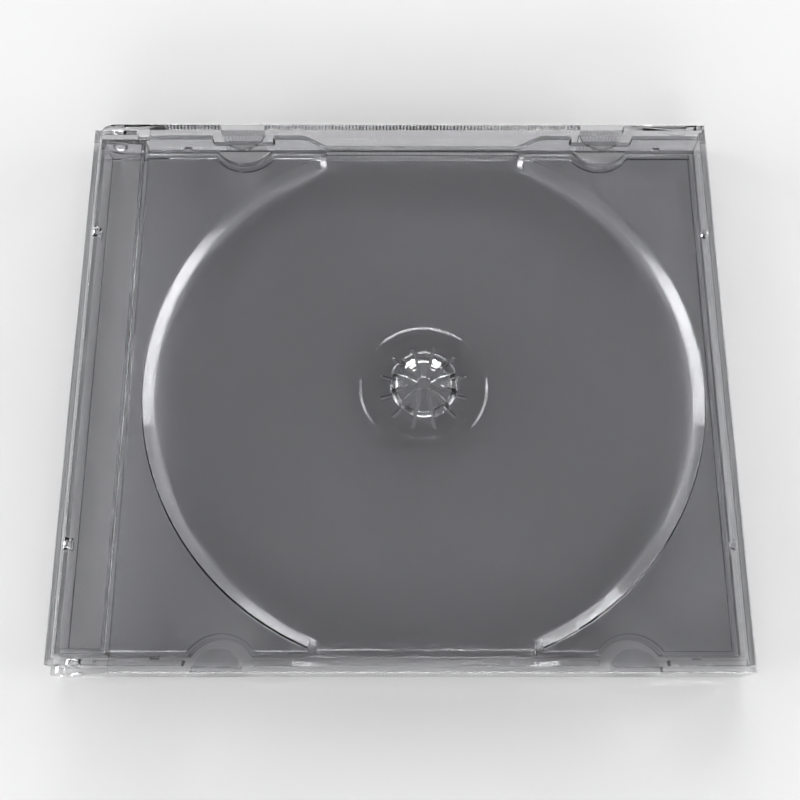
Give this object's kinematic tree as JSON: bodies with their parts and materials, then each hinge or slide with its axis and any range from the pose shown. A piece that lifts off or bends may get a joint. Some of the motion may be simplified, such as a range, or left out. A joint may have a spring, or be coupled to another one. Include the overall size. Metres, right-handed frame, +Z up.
{
  "type": "disc jewel case",
  "caption": "Flat clear plastic case for one optical disc: a lid hinged on a base along one side, with a snapped-in tray whose slotted hub grips the disc.",
  "frame": {"origin": "middle of the closed case's outline on the table plane", "axes": "+X from the hinge side to the opening side, +Y along the hinge, +Z up through the lid"},
  "size_m": [0.142, 0.125, 0.0102],
  "materials": {
    "clear_polystyrene": "water-clear, injection moulded and polished"
  },
  "bodies": {
    "base": {"back_cover": "clear_polystyrene", "disc_tray": "clear_polystyrene"},
    "lid": {"front_cover": "clear_polystyrene"}
  },
  "joints": [
    {"name": "lid_hinge", "type": "hinge", "parent": "base", "child": "lid", "pos_m": [-0.066, 0, 0.0051], "axis": [0, -1, 0], "range_deg": [0, 180]}
  ]
}
